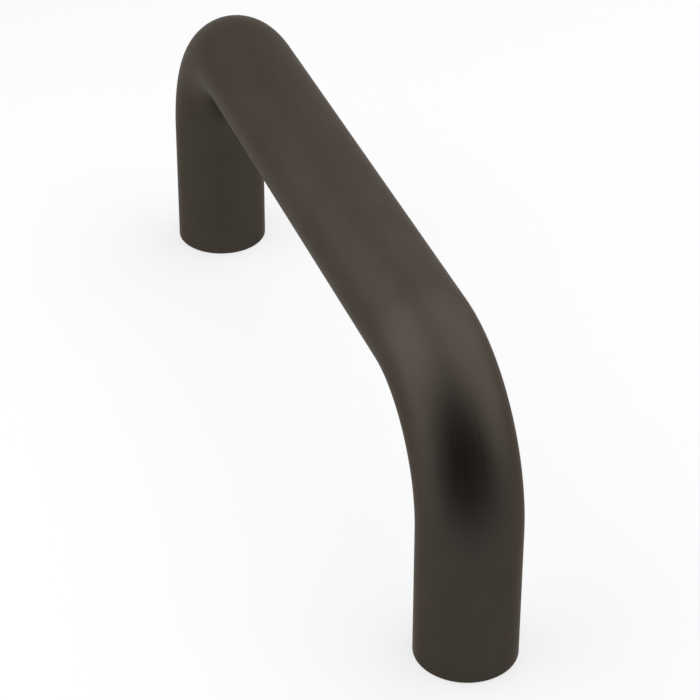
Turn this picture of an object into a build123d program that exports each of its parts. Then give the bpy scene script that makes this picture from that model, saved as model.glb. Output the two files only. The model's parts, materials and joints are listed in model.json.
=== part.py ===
from build123d import *

import os
from math import radians, tan

# A straight door pull: one round bar bent twice into a flat U, standing on its two feet.
# The mounting face is the plane z = 0, the grip runs along X above it, and the origin is
# midway between the feet. All sizes are in millimetres.

bar_diameter = 19.05
foot_centres = 152.4
projection = 61.9  # mounting face to the outside of the grip
bend_radius = 25.4  # to the bar's centreline
foot_edge_break = 0.25

# Each foot is drilled and tapped up its axis for a 5/16-18 screw that comes through the door.
thread_major_diameter = 7.94
tap_drill_diameter = 6.53
drilled_depth = 19.05  # foot to the end of the drill's full diameter
drill_point_angle = 118
countersink_angle = 90
countersink_diameter = thread_major_diameter + 0.3

bar_radius = bar_diameter / 2
tap_drill_radius = tap_drill_diameter / 2
countersink_radius = countersink_diameter / 2
grip_height = projection - bar_radius
foot_places = (-foot_centres / 2, foot_centres / 2)

countersink_depth = (countersink_radius - tap_drill_radius) / tan(radians(countersink_angle / 2))
drill_point_depth = tap_drill_radius / tan(radians(drill_point_angle / 2))

os.makedirs("parts", exist_ok=True)

with BuildPart() as pull_bar:
    # The bar's centreline, foot to foot, with the two bends as arcs
    with BuildLine(Plane.XZ):
        FilletPolyline(
            (foot_places[0], 0),
            (foot_places[0], grip_height),
            (foot_places[1], grip_height),
            (foot_places[1], 0),
            radius=bend_radius,
        )
    with BuildSketch(Plane((foot_places[0], 0, 0))):
        Circle(bar_radius)
    sweep()

    # The square-cut ends have their sharp edge taken off
    foot_edges = pull_bar.edges().filter_by(GeomType.CIRCLE).group_by(Axis.Z)[0]
    chamfer(foot_edges, foot_edge_break)

    # A blind hole in each foot: countersunk mouth, tapping drill, drill point
    for foot_place in foot_places:
        with BuildSketch(Plane((foot_place, 0, 0), x_dir=(1, 0, 0), z_dir=(0, -1, 0))):
            with BuildLine():
                Polyline(
                    (0, 0),
                    (countersink_radius, 0),
                    (tap_drill_radius, countersink_depth),
                    (tap_drill_radius, drilled_depth),
                    (0, drilled_depth + drill_point_depth),
                    close=True,
                )
            make_face()
        revolve(axis=Axis((foot_place, 0, 0), (0, 0, 1)), mode=Mode.SUBTRACT)

pull_bar.part.label = "pull_bar"
export_step(pull_bar.part, "parts/pull_bar.step")

print("grip height", round(grip_height, 3))
print("clearance under the grip", round(projection - bar_diameter, 3))
print("tapped wall from", round(countersink_depth, 4), "to", round(drilled_depth, 4))
print("volume", round(pull_bar.part.volume, 1), "valid", pull_bar.part.is_valid)
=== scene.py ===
import json
from math import atan2, ceil, cos, hypot, pi, radians, sin, tan

import bmesh
import bpy
from mathutils import Matrix, Vector


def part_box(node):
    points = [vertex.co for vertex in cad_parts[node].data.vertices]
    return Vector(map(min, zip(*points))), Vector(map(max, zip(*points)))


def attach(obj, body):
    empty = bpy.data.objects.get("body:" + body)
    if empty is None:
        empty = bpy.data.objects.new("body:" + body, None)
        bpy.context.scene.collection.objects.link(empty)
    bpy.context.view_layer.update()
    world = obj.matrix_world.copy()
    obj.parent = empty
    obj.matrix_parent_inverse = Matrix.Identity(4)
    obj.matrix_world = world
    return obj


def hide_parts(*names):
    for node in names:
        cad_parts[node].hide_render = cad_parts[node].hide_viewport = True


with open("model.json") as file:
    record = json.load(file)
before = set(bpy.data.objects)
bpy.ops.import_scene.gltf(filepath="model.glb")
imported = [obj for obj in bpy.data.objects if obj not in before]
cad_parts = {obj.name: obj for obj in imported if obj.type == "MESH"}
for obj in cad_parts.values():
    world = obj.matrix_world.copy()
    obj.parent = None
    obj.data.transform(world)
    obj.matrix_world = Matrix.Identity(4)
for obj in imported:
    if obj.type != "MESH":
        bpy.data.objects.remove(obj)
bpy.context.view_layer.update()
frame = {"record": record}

mm = 0.001

# The solid gives the bar its size and place, and a mount gives the tapped holes theirs
barLow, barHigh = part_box("pull_bar")
barRadius = (barHigh.y - barLow.y) / 2
footX = barHigh.x - barRadius
gripZ = barHigh.z - barRadius
mounts = {m["name"]: m for m in frame["record"]["mounts"]}
tapRadius = mounts["left_foot_hole"]["dims"]["r_mm"] * mm
tapLength = mounts["left_foot_hole"]["dims"]["length_mm"] * mm

tiny = 0.001 * mm  # points closer than this are one
ringSlack = 0.02 * mm  # how far off its circle a point of a ring may lie


def deselectAll():
    for o in bpy.context.selected_objects:
        o.select_set(False)


def selectOnly(piece):
    deselectAll()
    piece.select_set(True)
    bpy.context.view_layer.objects.active = piece


def startEditing(piece):
    selectOnly(piece)
    bpy.ops.object.mode_set(mode="EDIT")
    bpy.ops.mesh.select_mode(type="VERT")


def stopEditing():
    bpy.ops.object.mode_set(mode="OBJECT")


def selectEdges(piece, wanted):
    bpy.ops.mesh.select_all(action="DESELECT")
    bpy.ops.mesh.select_mode(type="EDGE")
    mesh = bmesh.from_edit_mesh(piece.data)
    for edge in mesh.edges:
        edge.select_set(wanted(edge))
    bmesh.update_edit_mesh(piece.data)


def extrudeEdges(move, steps=1):
    step = [length / steps for length in move]
    for _ in range(steps):
        bpy.ops.mesh.extrude_edges_move(TRANSFORM_OT_translate={"value": step})


def scaleRing(x, factor):
    bpy.ops.transform.resize(value=(factor, factor, 1), center_override=(x, 0, 0))


# Whether an edge lies on the ring of that height and radius round the foot at x
def inRing(edge, z, radius, x):
    return all(
        abs(v.co.z - z) < tiny and abs(hypot(v.co.x - x, v.co.y) - radius) < ringSlack
        for v in edge.verts
    )


bar = {
    "bendRadius": 25.4 * mm,  # to the middle of the bar
    "facesRound": 96,
    "bendSteps": 40,
    "gripSteps": 24,
    "legSteps": 6,
    "footBreak": 0.25 * mm,  # the sharp edge taken off each foot
    "footBreakRound": 0.06 * mm,
    "roundSegments": 2,
    "footRings": 3,
    "lastRingGap": 0.15 * mm,  # from the last ring to the countersink
    "smoothAngle": 28,  # degrees, past which an edge stays crisp
}
legTop = gripZ - bar["bendRadius"]
gripHalf = footX - bar["bendRadius"]
bendLength = bar["bendRadius"] * pi / 2


# The bar is one ring of edges, drawn up the left leg, round the bends and down to the right foot
def makeBar():
    deselectAll()
    bpy.ops.mesh.primitive_circle_add(
        vertices=bar["facesRound"],
        radius=barRadius,
        fill_type="NOTHING",
        location=(-footX, 0, bar["footBreak"]),
    )
    piece = bpy.context.active_object
    bpy.ops.object.transform_apply(location=True)
    startEditing(piece)
    bpy.ops.mesh.select_all(action="SELECT")
    legMove = legTop - bar["footBreak"]
    extrudeEdges((0, 0, legMove), bar["legSteps"])
    spin = {"steps": bar["bendSteps"], "angle": -pi / 2, "axis": (0, 1, 0)}
    bpy.ops.mesh.spin(center=(-gripHalf, 0, legTop), **spin)
    extrudeEdges((2 * gripHalf, 0, 0), bar["gripSteps"])
    bpy.ops.mesh.spin(center=(gripHalf, 0, legTop), **spin)
    extrudeEdges((0, 0, -legMove), bar["legSteps"])
    stopEditing()
    return piece


thread = {
    "pitch": 25.4 / 18 * mm,  # 18 turns to the inch
    "majorRadius": 3.97 * mm,
    "mouthRadius": 4.12 * mm,  # the 90 degree countersink, at the foot's face
    "flankAngle": 30,  # degrees
    "rootFlat": 0.2 * mm,
    "flatSteps": 2,
    "flankSteps": 3,
    "stepsRound": 72,
    "spareTurns": 2,  # wound past each end of the hole, then cut off
    "runOut": 2.6 * mm,  # the last turns, cut by the tap's tapered nose
    "plainEnd": 1.4 * mm,  # drilled wall past the last turn
    "drillPoint": 118,  # degrees
    "pointRing": 0.6,  # how far along the drill point one more ring lies
}
holeDepth = thread["mouthRadius"] - tapRadius + tapLength
pointLength = tapRadius / tan(radians(thread["drillPoint"] / 2))


# One pitch of the thread's outline is wound up the hole, then trimmed as the tap's nose
# and the countersink leave it
def makeHole(x):
    minorRadius, majorRadius, pitch = tapRadius, thread["majorRadius"], thread["pitch"]
    depth = majorRadius - minorRadius
    flank = depth * tan(radians(thread["flankAngle"]))
    crest = pitch - thread["rootFlat"] - 2 * flank
    flatSteps, flankSteps = thread["flatSteps"], thread["flankSteps"]
    outline = (
        [(0, crest / flatSteps)] * flatSteps
        + [(depth / flankSteps, flank / flankSteps)] * flankSteps
        + [(0, thread["rootFlat"] / flatSteps)] * flatSteps
        + [(-depth / flankSteps, flank / flankSteps)] * flankSteps
    )
    deselectAll()
    bpy.ops.mesh.primitive_plane_add(size=mm, location=(x, 0, -thread["spareTurns"] * pitch))
    piece = bpy.context.active_object
    startEditing(piece)
    bpy.ops.mesh.select_all(action="SELECT")
    bpy.ops.mesh.merge(type="CENTER")
    bpy.ops.transform.translate(value=(minorRadius, 0, 0))
    for outward, upward in outline:
        bpy.ops.mesh.extrude_vertices_move(TRANSFORM_OT_translate={"value": (outward, 0, upward)})
    stopEditing()
    winding = piece.modifiers.new("winding", "SCREW")
    winding.steps = winding.render_steps = thread["stepsRound"]
    winding.screw_offset = pitch
    winding.iterations = ceil(holeDepth / pitch) + 2 * thread["spareTurns"]
    winding.use_merge_vertices = True
    bpy.ops.object.modifier_apply(modifier="winding")
    bpy.ops.object.transform_apply(location=True)
    startEditing(piece)
    bpy.ops.mesh.select_all(action="SELECT")
    bpy.ops.mesh.remove_doubles(threshold=tiny)
    for height, cutBelow in ((0, True), (holeDepth, False)):
        bpy.ops.mesh.select_all(action="SELECT")
        bpy.ops.mesh.bisect(
            plane_co=(x, 0, height),
            plane_no=(0, 0, 1),
            clear_inner=cutBelow,
            clear_outer=not cutBelow,
            threshold=tiny,
        )
    stopEditing()
    lastTurn = holeDepth - thread["plainEnd"]
    for v in piece.data.vertices:
        radius = hypot(v.co.x - x, v.co.y)
        noseRadius = minorRadius + depth * (lastTurn - v.co.z) / thread["runOut"]
        wanted = min(radius, max(noseRadius, minorRadius))
        wanted = max(wanted, thread["mouthRadius"] - v.co.z)
        v.co.x = x + (v.co.x - x) * wanted / radius
        v.co.y *= wanted / radius
    startEditing(piece)
    selectEdges(piece, lambda e: e.is_boundary and inRing(e, holeDepth, minorRadius, x))
    extrudeEdges((0, 0, pointLength * thread["pointRing"]))
    scaleRing(x, 1 - thread["pointRing"])
    extrudeEdges((0, 0, pointLength * (1 - thread["pointRing"])))
    bpy.ops.mesh.merge(type="CENTER")
    stopEditing()
    return piece


def copyHole(hole, move):
    selectOnly(hole)
    bpy.ops.object.duplicate()
    second = bpy.context.active_object
    second.location.x += move
    bpy.ops.object.transform_apply(location=True)
    return second


# A square-cut end: the broken edge, then rings across the face as far as the countersink
def cutFoot(piece, x):
    startEditing(piece)
    selectEdges(piece, lambda e: e.is_boundary and inRing(e, bar["footBreak"], barRadius, x))
    faceRadius = barRadius - bar["footBreak"]
    extrudeEdges((0, 0, -bar["footBreak"]))
    scaleRing(x, faceRadius / barRadius)
    innerRadius = thread["mouthRadius"] + bar["lastRingGap"]
    ringWidth = (faceRadius - innerRadius) / bar["footRings"]
    radius = faceRadius
    for _ in range(bar["footRings"]):
        extrudeEdges((0, 0, 0))
        scaleRing(x, (radius - ringWidth) / radius)
        radius -= ringWidth
    selectEdges(
        piece,
        lambda e: inRing(e, bar["footBreak"], barRadius, x) or inRing(e, 0, faceRadius, x),
    )
    bpy.ops.mesh.bevel(offset=bar["footBreakRound"], segments=bar["roundSegments"], affect="EDGES")
    stopEditing()


# The hole's mouth is bridged to the last ring of the foot
def joinHole(piece, hole, x):
    selectOnly(piece)
    hole.select_set(True)
    bpy.ops.object.join()
    startEditing(piece)
    selectEdges(
        piece,
        lambda e: e.is_boundary and all(abs(v.co.x - x) < barRadius and v.co.z < tiny for v in e.verts),
    )
    bpy.ops.mesh.bridge_edge_loops()
    stopEditing()


def checkClosed(piece):
    mesh = bmesh.new()
    mesh.from_mesh(piece.data)
    faces = len(mesh.faces)
    openEdges = sum(not e.is_manifold for e in mesh.edges)
    volume = mesh.calc_volume(signed=True) / mm**3
    mesh.free()
    print(piece.name, "has", faces, "faces,", openEdges, "open edges and", round(volume), "cubic mm")


def makePull():
    piece = makeBar()
    leftHole = makeHole(-footX)
    rightHole = copyHole(leftHole, 2 * footX)
    for x, hole in ((-footX, leftHole), (footX, rightHole)):
        cutFoot(piece, x)
        joinHole(piece, hole, x)
    startEditing(piece)
    bpy.ops.mesh.select_all(action="SELECT")
    bpy.ops.mesh.remove_doubles(threshold=tiny)
    bpy.ops.mesh.normals_make_consistent(inside=False)
    stopEditing()
    bpy.ops.object.shade_smooth_by_angle(angle=radians(bar["smoothAngle"]))
    piece.name = piece.data.name = "door_pull"
    checkClosed(piece)
    return piece


# Each point's place on the bar as if it were straight, so that the grain runs on through the bends
def layStraight(piece):
    layer = piece.data.attributes.new("straightBar", "FLOAT_VECTOR", "POINT")
    for v, place in zip(piece.data.vertices, layer.data):
        pastGrip, pastLeg = abs(v.co.x) - gripHalf, v.co.z - legTop
        if pastGrip < 0:
            outward, run = v.co.z - gripZ, abs(v.co.x)
        elif pastLeg < 0:
            outward, run = abs(v.co.x) - footX, gripHalf + bendLength - pastLeg
        else:
            outward = hypot(pastGrip, pastLeg) - bar["bendRadius"]
            run = gripHalf + bar["bendRadius"] * atan2(pastGrip, pastLeg)
        place.vector = (outward, v.co.y, run if v.co.x > 0 else -run)


def addNode(tree, kind, x, y, **settings):
    node = tree.nodes.new(kind)
    node.location = (x, y)
    for name, value in settings.items():
        setattr(node, name, value)
    return node


# A node group that takes a vector and named amounts, and puts out one value
def newGroup(name, amounts, result):
    tree = bpy.data.node_groups.new(name, "ShaderNodeTree")
    tree.interface.new_socket(name="Vector", in_out="INPUT", socket_type="NodeSocketVector")
    for label in amounts:
        tree.interface.new_socket(name=label, in_out="INPUT", socket_type="NodeSocketFloat")
    tree.interface.new_socket(name=result, in_out="OUTPUT", socket_type="NodeSocketFloat")
    return tree, addNode(tree, "NodeGroupInput", -800, 0), addNode(tree, "NodeGroupOutput", 600, 0)


grain = {
    "broadScale": 0.2,  # makes the broad lines five times as wide and long as the fine ones
    "detail": 2,
    "detailRoughness": 0.6,
    "noiseLow": 0.3,  # the noise between these two is spread from 0 to 1
    "noiseHigh": 0.7,
}


# Fine lines from the polishing belt or the lathe, long on the vector's third axis only
def makeGrainGroup():
    tree, given, result = newGroup("metalGrain", ("Width", "Length", "Broad Share"), "Lines")
    size = addNode(tree, "ShaderNodeCombineXYZ", -600, -100)
    fine = addNode(tree, "ShaderNodeVectorMath", -400, 100, operation="DIVIDE")
    broad = addNode(tree, "ShaderNodeVectorMath", -200, -200, operation="SCALE")
    broad.inputs["Scale"].default_value = grain["broadScale"]
    both = addNode(tree, "ShaderNodeMix", 200, 0)
    spread = addNode(tree, "ShaderNodeMapRange", 400, 0)
    spread.inputs["From Min"].default_value = grain["noiseLow"]
    spread.inputs["From Max"].default_value = grain["noiseHigh"]
    for label in ("X", "Y"):
        tree.links.new(given.outputs["Width"], size.inputs[label])
    tree.links.new(given.outputs["Length"], size.inputs["Z"])
    tree.links.new(given.outputs["Vector"], fine.inputs[0])
    tree.links.new(size.outputs["Vector"], fine.inputs[1])
    tree.links.new(fine.outputs["Vector"], broad.inputs[0])
    for vector, label, y in ((fine, "A", 100), (broad, "B", -200)):
        noise = addNode(tree, "ShaderNodeTexNoise", 0, y)
        noise.inputs["Scale"].default_value = 1
        noise.inputs["Detail"].default_value = grain["detail"]
        noise.inputs["Roughness"].default_value = grain["detailRoughness"]
        tree.links.new(vector.outputs["Vector"], noise.inputs["Vector"])
        tree.links.new(noise.outputs["Fac"], both.inputs[label])
    tree.links.new(given.outputs["Broad Share"], both.inputs["Factor"])
    tree.links.new(both.outputs["Result"], spread.inputs["Value"])
    tree.links.new(spread.outputs["Result"], result.inputs["Lines"])
    return tree


patina = {
    "detail": 4,
    "detailRoughness": 0.55,
    "middle": 0.5,  # stays where it is at any contrast
}


# Cloudy light and dark of a chemically darkened surface
def makePatinaGroup():
    tree, given, result = newGroup("patinaCloud", ("Size", "Contrast"), "Mask")
    scale = addNode(tree, "ShaderNodeMath", -600, -100, operation="DIVIDE")
    scale.inputs[0].default_value = 1
    noise = addNode(tree, "ShaderNodeTexNoise", -400, 0)
    noise.inputs["Detail"].default_value = patina["detail"]
    noise.inputs["Roughness"].default_value = patina["detailRoughness"]
    centred = addNode(tree, "ShaderNodeMath", -200, 0, operation="SUBTRACT")
    centred.inputs[1].default_value = patina["middle"]
    spread = addNode(tree, "ShaderNodeMath", 0, 0, operation="MULTIPLY_ADD", use_clamp=True)
    spread.inputs[2].default_value = patina["middle"]
    tree.links.new(given.outputs["Size"], scale.inputs[1])
    tree.links.new(given.outputs["Vector"], noise.inputs["Vector"])
    tree.links.new(scale.outputs["Value"], noise.inputs["Scale"])
    tree.links.new(noise.outputs["Fac"], centred.inputs[0])
    tree.links.new(centred.outputs["Value"], spread.inputs[0])
    tree.links.new(given.outputs["Contrast"], spread.inputs[1])
    tree.links.new(spread.outputs["Value"], result.inputs["Mask"])
    return tree


metalGrain = makeGrainGroup()
patinaCloud = makePatinaGroup()


def addGroup(tree, group, x, y, amounts):
    node = addNode(tree, "ShaderNodeGroup", x, y, node_tree=group)
    for label, amount in amounts.items():
        node.inputs[label].default_value = amount
    return node


# A metal whose colour drifts with the patina and the grain, and whose gloss and bump are its grain
def makeMetal(name, finish, place):
    material = bpy.data.materials.new(name)
    material.use_nodes = True
    tree = material.node_tree
    shader = tree.nodes["Principled BSDF"]
    shader.inputs["Metallic"].default_value = 1
    shader.inputs["Specular Tint"].default_value = (*finish["edgeTint"], 1)
    vector = place(tree)
    clouding = {"Size": finish["cloudSize"], "Contrast": finish["cloudContrast"]}
    cloud = addGroup(tree, patinaCloud, -900, 200, clouding)
    lining = {
        "Width": finish["grainWidth"],
        "Length": finish["grainLength"],
        "Broad Share": finish["grainBroadShare"],
    }
    lines = addGroup(tree, metalGrain, -900, -200, lining)
    tree.links.new(vector, cloud.inputs["Vector"])
    tree.links.new(vector, lines.inputs["Vector"])
    streaks = addNode(tree, "ShaderNodeMapRange", -700, 0)
    streaks.inputs["To Min"].default_value = -finish["grainColour"]
    streaks.inputs["To Max"].default_value = finish["grainColour"]
    tone = addNode(tree, "ShaderNodeMath", -550, 150, operation="ADD", use_clamp=True)
    colour = addNode(tree, "ShaderNodeMix", -400, 200, data_type="RGBA")
    colour.inputs["A"].default_value = (*finish["dark"], 1)
    colour.inputs["B"].default_value = (*finish["light"], 1)
    tree.links.new(lines.outputs["Lines"], streaks.inputs["Value"])
    tree.links.new(cloud.outputs["Mask"], tone.inputs[0])
    tree.links.new(streaks.outputs["Result"], tone.inputs[1])
    tree.links.new(tone.outputs["Value"], colour.inputs["Factor"])
    tree.links.new(colour.outputs["Result"], shader.inputs["Base Color"])
    gloss = addNode(tree, "ShaderNodeMapRange", -400, -50)
    gloss.inputs["To Min"].default_value = finish["roughness"] - finish["roughnessDrift"]
    gloss.inputs["To Max"].default_value = finish["roughness"] + finish["roughnessDrift"]
    tree.links.new(lines.outputs["Lines"], gloss.inputs["Value"])
    tree.links.new(gloss.outputs["Result"], shader.inputs["Roughness"])
    bump = addNode(tree, "ShaderNodeBump", -400, -300)
    bump.inputs["Distance"].default_value = finish["grainDepth"]
    tree.links.new(lines.outputs["Lines"], bump.inputs["Height"])
    tree.links.new(bump.outputs["Normal"], shader.inputs["Normal"])
    return material


# Place on the straightened bar, so that the lines follow the bar round its bends
def alongBar(tree):
    place = addNode(tree, "ShaderNodeAttribute", -1100, 0, attribute_name="straightBar")
    return place.outputs["Vector"]


# Distance from the foot's axis, so that the lines run in circles round the hole
def roundFoot(tree):
    coordinates = addNode(tree, "ShaderNodeTexCoord", -1800, 0)
    parts = addNode(tree, "ShaderNodeSeparateXYZ", -1600, 0)
    unfold = addNode(tree, "ShaderNodeMath", -1400, 100, operation="ABSOLUTE")
    centre = addNode(tree, "ShaderNodeMath", -1200, 100, operation="SUBTRACT")
    centre.inputs[1].default_value = footX
    both = addNode(tree, "ShaderNodeCombineXYZ", -1100, 0)
    radius = addNode(tree, "ShaderNodeVectorMath", -1000, 0, operation="LENGTH")
    vector = addNode(tree, "ShaderNodeCombineXYZ", -850, 0)
    tree.links.new(coordinates.outputs["Object"], parts.inputs["Vector"])
    tree.links.new(parts.outputs["X"], unfold.inputs[0])
    tree.links.new(unfold.outputs["Value"], centre.inputs[0])
    tree.links.new(centre.outputs["Value"], both.inputs["X"])
    tree.links.new(parts.outputs["Y"], both.inputs["Y"])
    tree.links.new(both.outputs["Vector"], radius.inputs[0])
    tree.links.new(radius.outputs["Value"], vector.inputs["X"])
    tree.links.new(parts.outputs["Z"], vector.inputs["Z"])
    return vector.outputs["Vector"]


darkBronze = {
    "edgeTint": (0.61, 0.575, 0.545),
    "dark": (0.053, 0.045, 0.0364),
    "light": (0.063, 0.0522, 0.0447),
    "cloudSize": 16 * mm,
    "cloudContrast": 2.5,
    "roughness": 0.465,
    "roughnessDrift": 0.06,
    "grainWidth": 0.12 * mm,
    "grainLength": 9 * mm,
    "grainBroadShare": 0.4,  # of the broad lines in the mix
    "grainDepth": 0.008 * mm,
    "grainColour": 0.5,
}
turnedFoot = {
    **darkBronze,
    "dark": (0.042, 0.0355, 0.0285),
    "light": (0.08, 0.0655, 0.055),
    "roughness": 0.4,
    "grainWidth": 0.22 * mm,
    "grainLength": 40 * mm,
    "grainDepth": 0.02 * mm,
    "grainColour": 0.9,
}
cutThread = {
    "edgeTint": (0.8, 0.75, 0.7),
    "dark": (0.2, 0.125, 0.065),
    "light": (0.36, 0.235, 0.125),
    "cloudSize": 3 * mm,
    "cloudContrast": 2,
    "roughness": 0.38,
    "roughnessDrift": 0.08,
    "grainWidth": 0.06 * mm,
    "grainLength": 0.2 * mm,
    "grainBroadShare": 0.4,
    "grainDepth": 0.004 * mm,
    "grainColour": 0.6,
}


# The outside, the two faces that meet the door, and the inside of the tapped holes
def dressPull(piece):
    materials = piece.data.materials
    materials.append(makeMetal("darkBronze", darkBronze, alongBar))
    materials.append(makeMetal("turnedFoot", turnedFoot, roundFoot))
    materials.append(makeMetal("cutThread", cutThread, roundFoot))
    for face in piece.data.polygons:
        centre = face.center
        inHole = hypot(abs(centre.x) - footX, centre.y) < thread["mouthRadius"]
        if inHole and centre.z < holeDepth + pointLength:
            face.material_index = materials.find("cutThread")
        elif centre.z < tiny:
            face.material_index = materials.find("turnedFoot")


pull = makePull()
layStraight(pull)
dressPull(pull)
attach(pull, "root")
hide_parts("pull_bar")
print("pull modelled and dressed")

studio = {
    "floorSize": 12,  # metres, as every size here
    "floorColour": (0.74, 0.74, 0.74),
    "floorGlow": 0.65,  # how much of the sheet is seen plain white, so that its shadows are pale
    "roomLevel": 0.75,  # the light from all round
}


# 1 for the rays that look at the studio, from the camera or off the metal, 0 for those that light it
def lookingRays(tree, x, y):
    path = addNode(tree, "ShaderNodeLightPath", x, y)
    looking = path.outputs["Is Camera Ray"]
    for other in ("Is Glossy Ray", "Is Transmission Ray"):
        x += 200
        either = addNode(tree, "ShaderNodeMath", x, y, operation="MAXIMUM")
        tree.links.new(looking, either.inputs[0])
        tree.links.new(path.outputs[other], either.inputs[1])
        looking = either.outputs["Value"]
    return looking


# A pale sheet under the pull, seen nearly white by the camera and by the metal
def makeFloor():
    deselectAll()
    bpy.ops.mesh.primitive_plane_add(size=studio["floorSize"], location=(0, 0, 0))
    floor = bpy.context.active_object
    floor.name = "floor"
    material = bpy.data.materials.new("paleFloor")
    material.use_nodes = True
    tree = material.node_tree
    shader = tree.nodes["Principled BSDF"]
    shader.inputs["Roughness"].default_value = 1
    shader.inputs["Specular IOR Level"].default_value = 0
    shader.inputs["Base Color"].default_value = (*studio["floorColour"], 1)
    share = addNode(tree, "ShaderNodeMath", -300, 300, operation="MULTIPLY")
    share.inputs[1].default_value = studio["floorGlow"]
    glow = addNode(tree, "ShaderNodeEmission", 0, -400)
    both = addNode(tree, "ShaderNodeMixShader", 300, 0)
    tree.links.new(lookingRays(tree, -700, 300), share.inputs[0])
    tree.links.new(share.outputs["Value"], both.inputs["Fac"])
    tree.links.new(shader.outputs["BSDF"], both.inputs[1])
    tree.links.new(glow.outputs["Emission"], both.inputs[2])
    tree.links.new(both.outputs["Shader"], tree.nodes["Material Output"].inputs["Surface"])
    floor.data.materials.append(material)


# A plain room, seen white by the camera and by the metal
def makeWorld():
    world = bpy.data.worlds.new("studio")
    bpy.context.scene.world = world
    world.use_nodes = True
    tree = world.node_tree
    background = tree.nodes["Background"]
    background.inputs["Color"].default_value = (1, 1, 1, 1)
    level = addNode(tree, "ShaderNodeMath", -300, 0, operation="MAXIMUM")
    level.inputs[1].default_value = studio["roomLevel"]
    tree.links.new(lookingRays(tree, -800, 0), level.inputs[0])
    tree.links.new(level.outputs["Value"], background.inputs["Strength"])


# Two feathered ovals, one behind the other, that paint a dark reflection onto the metal
paintedReflectionCards = {
    "dark_end": {
        "away": 0.108,  # from the axis of the right foot, along the heading
        "aside": 0,
        "middle": 0,  # its height above the floor
        "halfWidth": 0.56,
        "halfHeight": 2,
        "solidPart": 0.04,  # as a share of both halves, and the rest fades out
        "darkness": 0.43,
    },
    "dark_middle": {
        "away": 0.103,
        "aside": -0.218,
        "middle": 0.149,
        "halfWidth": 0.5,
        "halfHeight": 0.182,
        "solidPart": 0.54,
        "darkness": 1,
    },
}
darkHeading = -13.3  # degrees from +X


# A painted dark reflection that stands for the dark end of the room, on the camera's side. Only the
# metal's reflections see it.
def makePaintedReflectionCard(name, oval):
    deselectAll()
    bpy.ops.mesh.primitive_plane_add(size=2)  # reaches 1 each way, so it takes the halves as they are
    card = bpy.context.active_object
    card.name = name
    startEditing(card)
    bpy.ops.mesh.select_all(action="SELECT")
    below = min(oval["middle"], oval["halfHeight"])  # no card goes through the floor
    tall = (oval["halfHeight"] + below) / 2
    bpy.ops.transform.resize(value=(oval["halfWidth"], tall, 1), center_override=(0, 0, 0))
    bpy.ops.transform.translate(value=(0, oval["halfHeight"] - tall, 0))
    stopEditing()
    heading = radians(darkHeading)
    card.location = (
        footX + oval["away"] * cos(heading) - oval["aside"] * sin(heading),
        oval["away"] * sin(heading) + oval["aside"] * cos(heading),
        oval["middle"],
    )
    card.rotation_euler = (pi / 2, 0, heading + pi / 2)
    for ray in ("camera", "diffuse", "shadow", "transmission", "volume_scatter"):
        setattr(card, "visible_" + ray, False)
    material = bpy.data.materials.new(name)
    material.use_nodes = True
    tree = material.node_tree
    tree.nodes.remove(tree.nodes["Principled BSDF"])
    place = addNode(tree, "ShaderNodeTexCoord", -1000, 0)
    shape = addNode(tree, "ShaderNodeMapping", -800, 0)
    shape.inputs["Scale"].default_value = (1 / oval["halfWidth"], 1 / oval["halfHeight"], 1)
    outward = addNode(tree, "ShaderNodeVectorMath", -600, 0, operation="LENGTH")
    # The painted dark reflection: darkest in the solid middle, fading to clear at the rim
    fade = addNode(tree, "ShaderNodeMapRange", -400, 0, interpolation_type="SMOOTHSTEP")
    fade.inputs["From Min"].default_value = oval["solidPart"]
    fade.inputs["To Min"].default_value = 1 - oval["darkness"]
    clear = addNode(tree, "ShaderNodeBsdfTransparent", -200, 0)
    tree.links.new(place.outputs["Object"], shape.inputs["Vector"])
    tree.links.new(shape.outputs["Vector"], outward.inputs[0])
    tree.links.new(outward.outputs["Value"], fade.inputs["Value"])
    tree.links.new(fade.outputs["Result"], clear.inputs["Color"])
    tree.links.new(clear.outputs["BSDF"], tree.nodes["Material Output"].inputs["Surface"])
    card.data.materials.append(material)


softboxes = {
    "near_softbox": {"place": (-0.009, -0.167, 0.161), "size": 0.316, "radiance": 1.2},
    "far_softbox": {"place": (0.011, 0.17, 0.262), "size": 0.56, "radiance": 0.94},
}


# A square lamp that looks at the middle of the grip. The metal shows it and the camera does not.
def makeSoftbox(name, box):
    deselectAll()
    bpy.ops.object.light_add(type="AREA", location=box["place"])
    lamp = bpy.context.active_object
    lamp.name = name
    towards = Vector((0, 0, gripZ)) - lamp.location
    lamp.rotation_euler = towards.to_track_quat("-Z", "Y").to_euler()
    lamp.data.size = box["size"]
    lamp.data.energy = box["radiance"] * pi * box["size"] ** 2  # watts
    lamp.visible_camera = False


makeFloor()
makeWorld()
for name, oval in paintedReflectionCards.items():
    makePaintedReflectionCard(name, oval)
for name, box in softboxes.items():
    makeSoftbox(name, box)
print("stage set")

cameraSet = {
    "azimuth": 71.12,  # degrees, from the front towards the right foot
    "elevation": 33.53,
    "roll": 0.156,
    "distance": 0.5268,  # from the aim
    "aim": (7.6 * mm, 1.5 * mm, 20.7 * mm),
    "lens": 139.2,  # in millimetres, as the sensor is
    "sensor": 36,
}


# Stands where the photograph was taken from
def makeCamera():
    around, up = radians(cameraSet["azimuth"]), radians(cameraSet["elevation"])
    back = Vector((sin(around) * cos(up), -cos(around) * cos(up), sin(up)))
    deselectAll()
    bpy.ops.object.camera_add(location=Vector(cameraSet["aim"]) + back * cameraSet["distance"])
    camera = bpy.context.active_object
    level = (-back).to_track_quat("-Z", "Y").to_matrix().to_4x4()
    camera.rotation_euler = (level @ Matrix.Rotation(radians(cameraSet["roll"]), 4, "Z")).to_euler()
    camera.data.lens = cameraSet["lens"]
    camera.data.sensor_width = cameraSet["sensor"]
    bpy.context.scene.camera = camera


makeCamera()
bpy.context.scene.view_settings.view_transform = "Standard"
print("camera placed")
